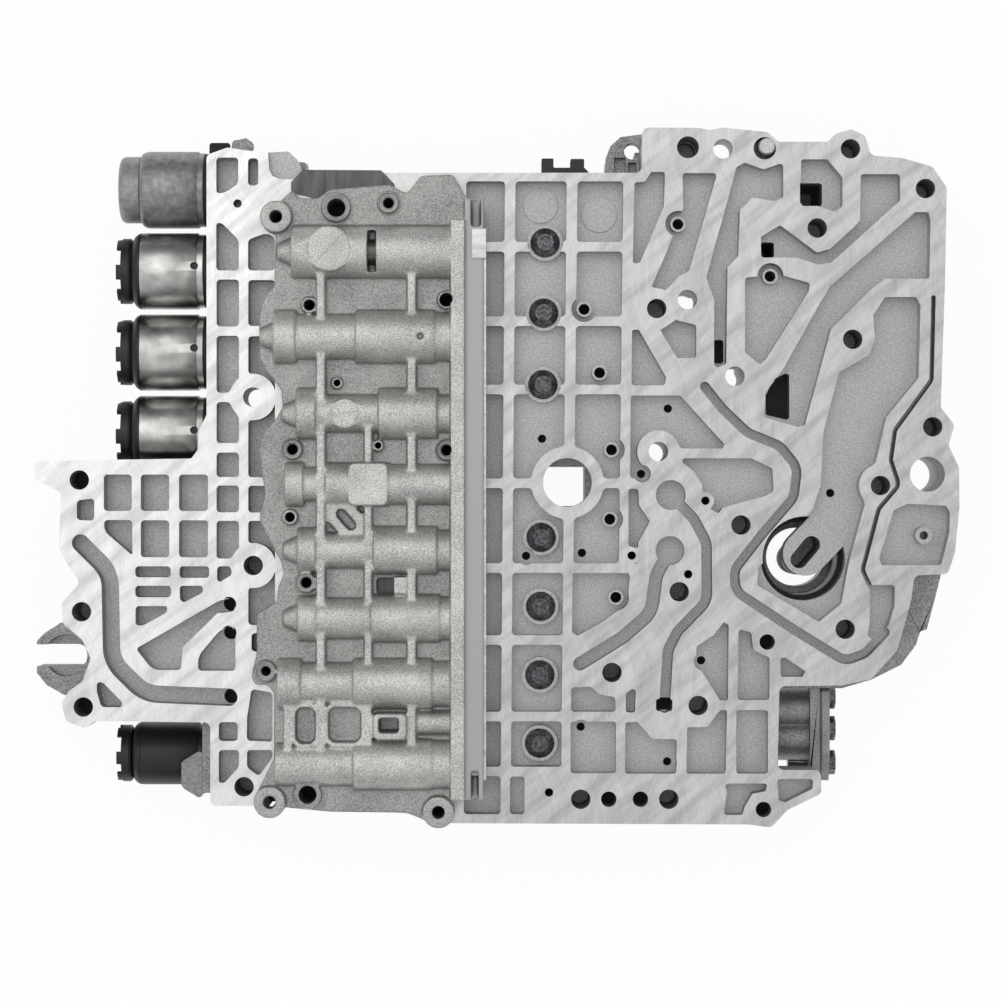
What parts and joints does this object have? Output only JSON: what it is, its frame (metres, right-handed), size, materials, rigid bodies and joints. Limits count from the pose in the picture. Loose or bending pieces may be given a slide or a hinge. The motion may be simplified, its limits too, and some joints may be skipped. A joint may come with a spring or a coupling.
{
  "type": "transmission valve body",
  "caption": "Automatic transmission valve body: milled channel plate over cast housings with spool valves, solenoids and a manual valve.",
  "frame": {"origin": "centre of the central bore on the milled lands of the channel plate", "axes": "+Z leaves the milled lands, +Y towards the ear side, +X towards the wide side"},
  "size_m": [0.3728, 0.2799, 0.0764],
  "materials": {
    "milled_casting": "milled lands over as-cast floors",
    "cast_housing": "as cast, blasted",
    "dark_sheet": "dark rolled sheet",
    "bright_sheet": "bright rolled sheet",
    "grey_sheet": "plain pressed sheet",
    "bright_steel": "ground",
    "solenoid_steel": "drawn, satin",
    "machined_nose": "turned",
    "anodised_valve": "hard anodised",
    "spring_wire": "drawn wire",
    "black_moulding": "moulded, fine texture",
    "grey_moulding": "moulded",
    "seal_rubber": "moulded",
    "black_screws": "black oxide"
  },
  "bodies": {
    "valve_body": {"bore_plugs": "bright_steel", "channel_plate": "milled_casting", "cover_gasket": "dark_sheet", "dowel_pin": "bright_steel", "end_cover": "cast_housing", "end_cover_screws": "bright_steel", "harness_clip": "black_moulding", "housing_screws": "black_screws", "keeper_strip": "bright_sheet", "lower_separator_plate": "dark_sheet", "lower_valve_housing": "cast_housing", "plate_screws": "black_screws", "seal_rings": "seal_rubber", "solenoid_1_can": "solenoid_steel", "solenoid_1_connector": "grey_moulding", "solenoid_1_nose": "machined_nose", "solenoid_2_can": "solenoid_steel", "solenoid_2_connector": "black_moulding", "solenoid_2_nose": "machined_nose", "solenoid_3_can": "solenoid_steel", "solenoid_3_connector": "black_moulding", "solenoid_3_nose": "machined_nose", "solenoid_4_can": "solenoid_steel", "solenoid_4_connector": "black_moulding", "solenoid_4_nose": "machined_nose", "solenoid_5_can": "black_moulding", "solenoid_5_connector": "black_moulding", "solenoid_5_nose": "machined_nose", "solenoid_clamp": "grey_sheet", "spool_spring_1": "spring_wire", "spool_spring_2": "spring_wire", "spool_spring_3": "spring_wire", "spool_spring_4": "spring_wire", "spool_spring_5": "spring_wire", "spool_spring_6": "spring_wire", "spool_spring_7": "spring_wire", "spool_spring_8": "spring_wire", "upper_separator_plate": "dark_sheet", "upper_valve_housing": "cast_housing"},
    "manual_valve_body": {"manual_valve": "anodised_valve"},
    "armature_1": {"solenoid_1_armature": "bright_steel"},
    "armature_2": {"solenoid_2_armature": "bright_steel"},
    "armature_3": {"solenoid_3_armature": "bright_steel"},
    "armature_4": {"solenoid_4_armature": "bright_steel"},
    "armature_5": {"solenoid_5_armature": "bright_steel"},
    "spool_1": {"spool_valve_1": "anodised_valve"},
    "spool_2": {"spool_valve_2": "anodised_valve"},
    "spool_3": {"spool_valve_3": "anodised_valve"},
    "spool_4": {"spool_valve_4": "anodised_valve"},
    "spool_5": {"spool_valve_5": "anodised_valve"},
    "spool_6": {"spool_valve_6": "anodised_valve"},
    "spool_7": {"spool_valve_7": "anodised_valve"},
    "spool_8": {"spool_valve_8": "anodised_valve"}
  },
  "joints": [
    {"name": "spool_1_slide", "type": "slide", "parent": "valve_body", "child": "spool_1", "axis": [-1, 0, 0], "range_m": [0, 0.005], "stiffness_N_per_m": 600, "springref_m": -0.003, "deforming": ["spool_spring_1"]},
    {"name": "spool_2_slide", "type": "slide", "parent": "valve_body", "child": "spool_2", "axis": [-1, 0, 0], "range_m": [0, 0.005], "stiffness_N_per_m": 600, "springref_m": -0.003, "deforming": ["spool_spring_2"]},
    {"name": "spool_3_slide", "type": "slide", "parent": "valve_body", "child": "spool_3", "axis": [-1, 0, 0], "range_m": [0, 0.005], "stiffness_N_per_m": 600, "springref_m": -0.003, "deforming": ["spool_spring_3"]},
    {"name": "spool_4_slide", "type": "slide", "parent": "valve_body", "child": "spool_4", "axis": [-1, 0, 0], "range_m": [0, 0.005], "stiffness_N_per_m": 600, "springref_m": -0.003, "deforming": ["spool_spring_4"]},
    {"name": "spool_5_slide", "type": "slide", "parent": "valve_body", "child": "spool_5", "axis": [-1, 0, 0], "range_m": [0, 0.005], "stiffness_N_per_m": 600, "springref_m": -0.003, "deforming": ["spool_spring_5"]},
    {"name": "spool_6_slide", "type": "slide", "parent": "valve_body", "child": "spool_6", "axis": [-1, 0, 0], "range_m": [0, 0.005], "stiffness_N_per_m": 600, "springref_m": -0.003, "deforming": ["spool_spring_6"]},
    {"name": "spool_7_slide", "type": "slide", "parent": "valve_body", "child": "spool_7", "axis": [-1, 0, 0], "range_m": [0, 0.005], "stiffness_N_per_m": 600, "springref_m": -0.003, "deforming": ["spool_spring_7"]},
    {"name": "spool_8_slide", "type": "slide", "parent": "valve_body", "child": "spool_8", "axis": [-1, 0, 0], "range_m": [0, 0.005], "stiffness_N_per_m": 600, "springref_m": -0.003, "deforming": ["spool_spring_8"]},
    {"name": "armature_1_slide", "type": "slide", "parent": "valve_body", "child": "armature_1", "axis": [1, 0, 0], "range_m": [0, 0.0008], "stiffness_N_per_m": 800, "springref_m": -0.0005},
    {"name": "armature_2_slide", "type": "slide", "parent": "valve_body", "child": "armature_2", "axis": [1, 0, 0], "range_m": [0, 0.0008], "stiffness_N_per_m": 800, "springref_m": -0.0005},
    {"name": "armature_3_slide", "type": "slide", "parent": "valve_body", "child": "armature_3", "axis": [1, 0, 0], "range_m": [0, 0.0008], "stiffness_N_per_m": 800, "springref_m": -0.0005},
    {"name": "armature_4_slide", "type": "slide", "parent": "valve_body", "child": "armature_4", "axis": [1, 0, 0], "range_m": [0, 0.0008], "stiffness_N_per_m": 800, "springref_m": -0.0005},
    {"name": "armature_5_slide", "type": "slide", "parent": "valve_body", "child": "armature_5", "axis": [1, 0, 0], "range_m": [0, 0.0008], "stiffness_N_per_m": 800, "springref_m": -0.0005},
    {"name": "manual_valve_slide", "type": "slide", "parent": "valve_body", "child": "manual_valve_body", "axis": [-1, 0, 0], "range_m": [0, 0.018]}
  ]
}
